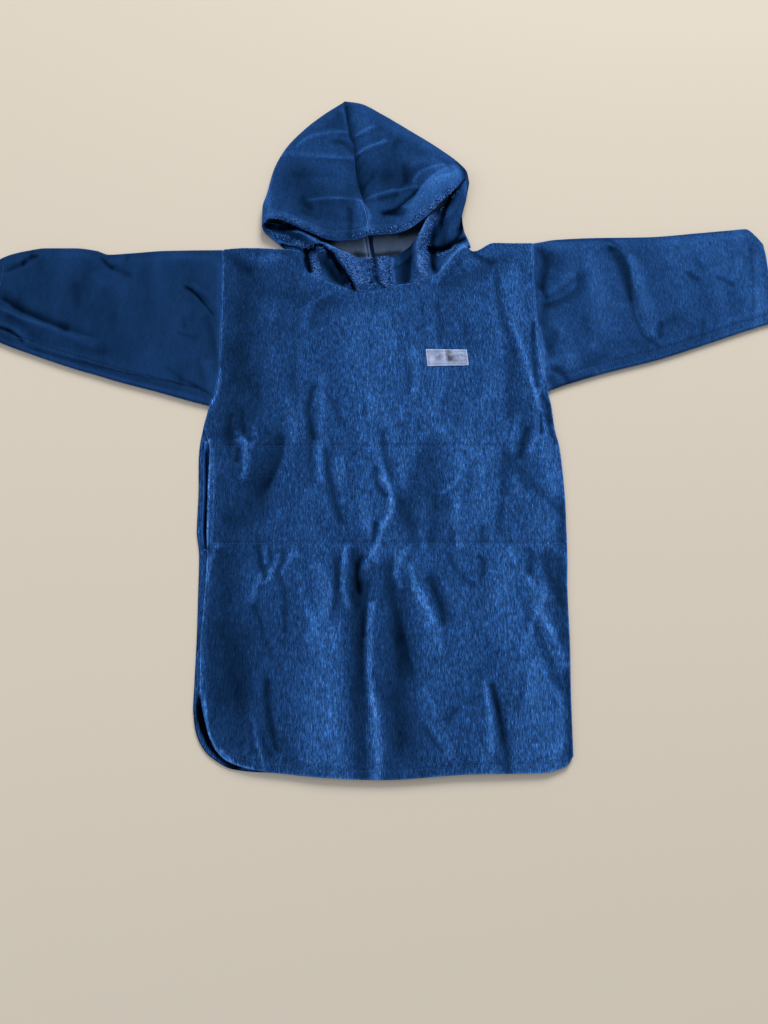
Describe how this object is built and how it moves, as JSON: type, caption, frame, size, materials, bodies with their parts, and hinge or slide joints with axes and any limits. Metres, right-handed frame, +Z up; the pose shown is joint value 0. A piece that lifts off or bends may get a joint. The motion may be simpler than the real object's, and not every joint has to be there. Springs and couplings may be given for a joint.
{
  "type": "hooded bath poncho",
  "caption": "Child's pullover bath poncho of towelling with long sleeves, a hood, a pocket bag and side vents, laid out flat with its front up.",
  "frame": {"origin": "on the back panel's underside, on the garment's centre line at the height of the pocket, where it lies on a surface", "axes": "+X towards the wearer's left sleeve, +Y towards the hood, +Z up from the surface that the garment lies on"},
  "size_m": [1.027, 0.916, 0.0366],
  "materials": {
    "towelling": "sheared velour towelling with a soft upright nap, matt",
    "pocket_cloth": "looped towelling, matt",
    "label_cloth": "woven grey cloth, bare, faded"
  },
  "bodies": {
    "root": {"back": "towelling", "front": "towelling", "sleeve_right": "towelling", "sleeve_left": "towelling", "hood_right": "towelling", "hood_left": "towelling", "pocket": "pocket_cloth", "label": "label_cloth"}
  },
  "joints": []
}
